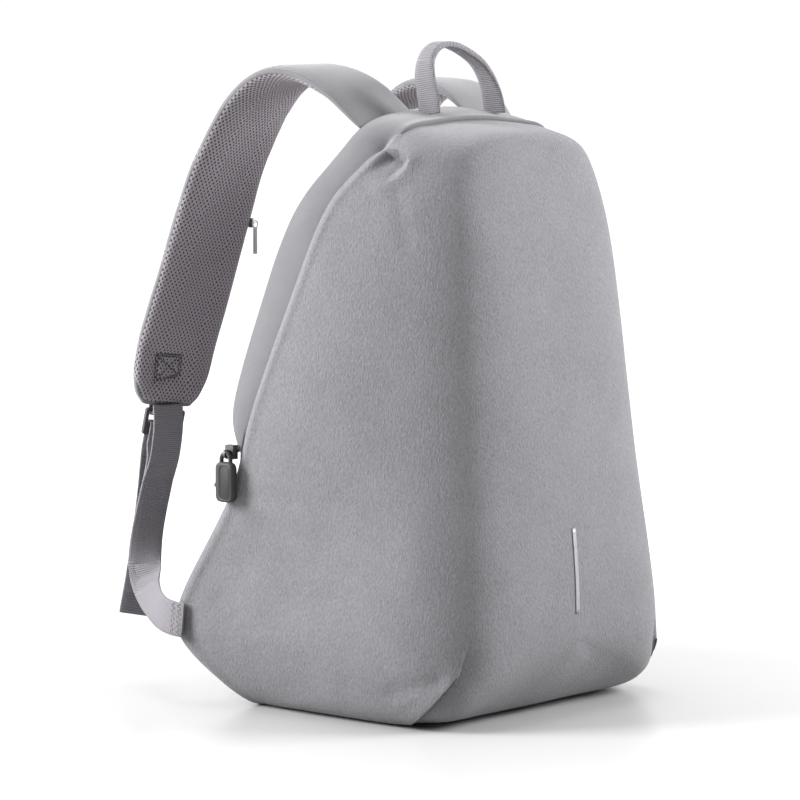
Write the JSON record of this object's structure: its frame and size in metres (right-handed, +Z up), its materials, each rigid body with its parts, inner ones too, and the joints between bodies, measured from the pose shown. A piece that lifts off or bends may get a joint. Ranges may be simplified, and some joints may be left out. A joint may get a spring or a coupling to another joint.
{
  "type": "backpack",
  "caption": "Rear-opening anti-theft day backpack standing on its base: tall soft shell with flared lower wings, rim band, padded arched straps, webbing and a grab handle",
  "frame": {"origin": "on the floor under the middle of the whole bag's bounding box", "axes": "+X the bag's right seen from the front, -Y the front face, +Y the padded back and the straps, +Z up"},
  "size_m": [0.3262, 0.3394, 0.4785],
  "materials": {
    "shell_cloth": "warm mid grey twill-like polyester with a fine crinkled weave, soft sheen",
    "band_knit": "smooth light grey knit",
    "spacer_mesh": "perforated grey spacer mesh",
    "webbing": "ribbed grey webbing",
    "lock_plastic": "matt grey moulded plastic",
    "zip_coil": "dark nylon coil on a tape",
    "dark_metal": "dull grey metal",
    "puller_rubber": "dark grey moulded puller with a recessed face",
    "bright_metal": "plain bright metal",
    "reflective": "light grey reflective tape"
  },
  "bodies": {
    "bag": {"front_shell": "shell_cloth", "rim_band": "band_knit", "back_panel": "spacer_mesh", "strap_cover_left": "band_knit", "strap_cover_right": "band_knit", "strap_mesh_left": "spacer_mesh", "strap_mesh_right": "spacer_mesh", "webbing_left": "webbing", "webbing_right": "webbing", "lock_tab_left": "webbing", "lock_tab_right": "webbing", "ladder_lock_left": "lock_plastic", "ladder_lock_right": "lock_plastic", "grab_handle": "webbing", "zip_chain": "zip_coil", "zip_slider": "dark_metal", "pocket_slider": "bright_metal", "reflective_strip": "reflective"},
    "puller": {"zip_puller": "puller_rubber"},
    "pocket_pull": {"pocket_pull": "bright_metal"}
  },
  "joints": [
    {"name": "puller_swing", "type": "hinge", "parent": "bag", "child": "puller", "pos_m": [-0.1507, 0.03342, 0.18518], "axis": [0, 1, 0], "range_deg": [0, 150]},
    {"name": "pocket_pull_swing", "type": "hinge", "parent": "bag", "child": "pocket_pull", "pos_m": [-0.04776, 0.10505, 0.34497], "axis": [0, -1, 0], "range_deg": [0, 80]}
  ]
}
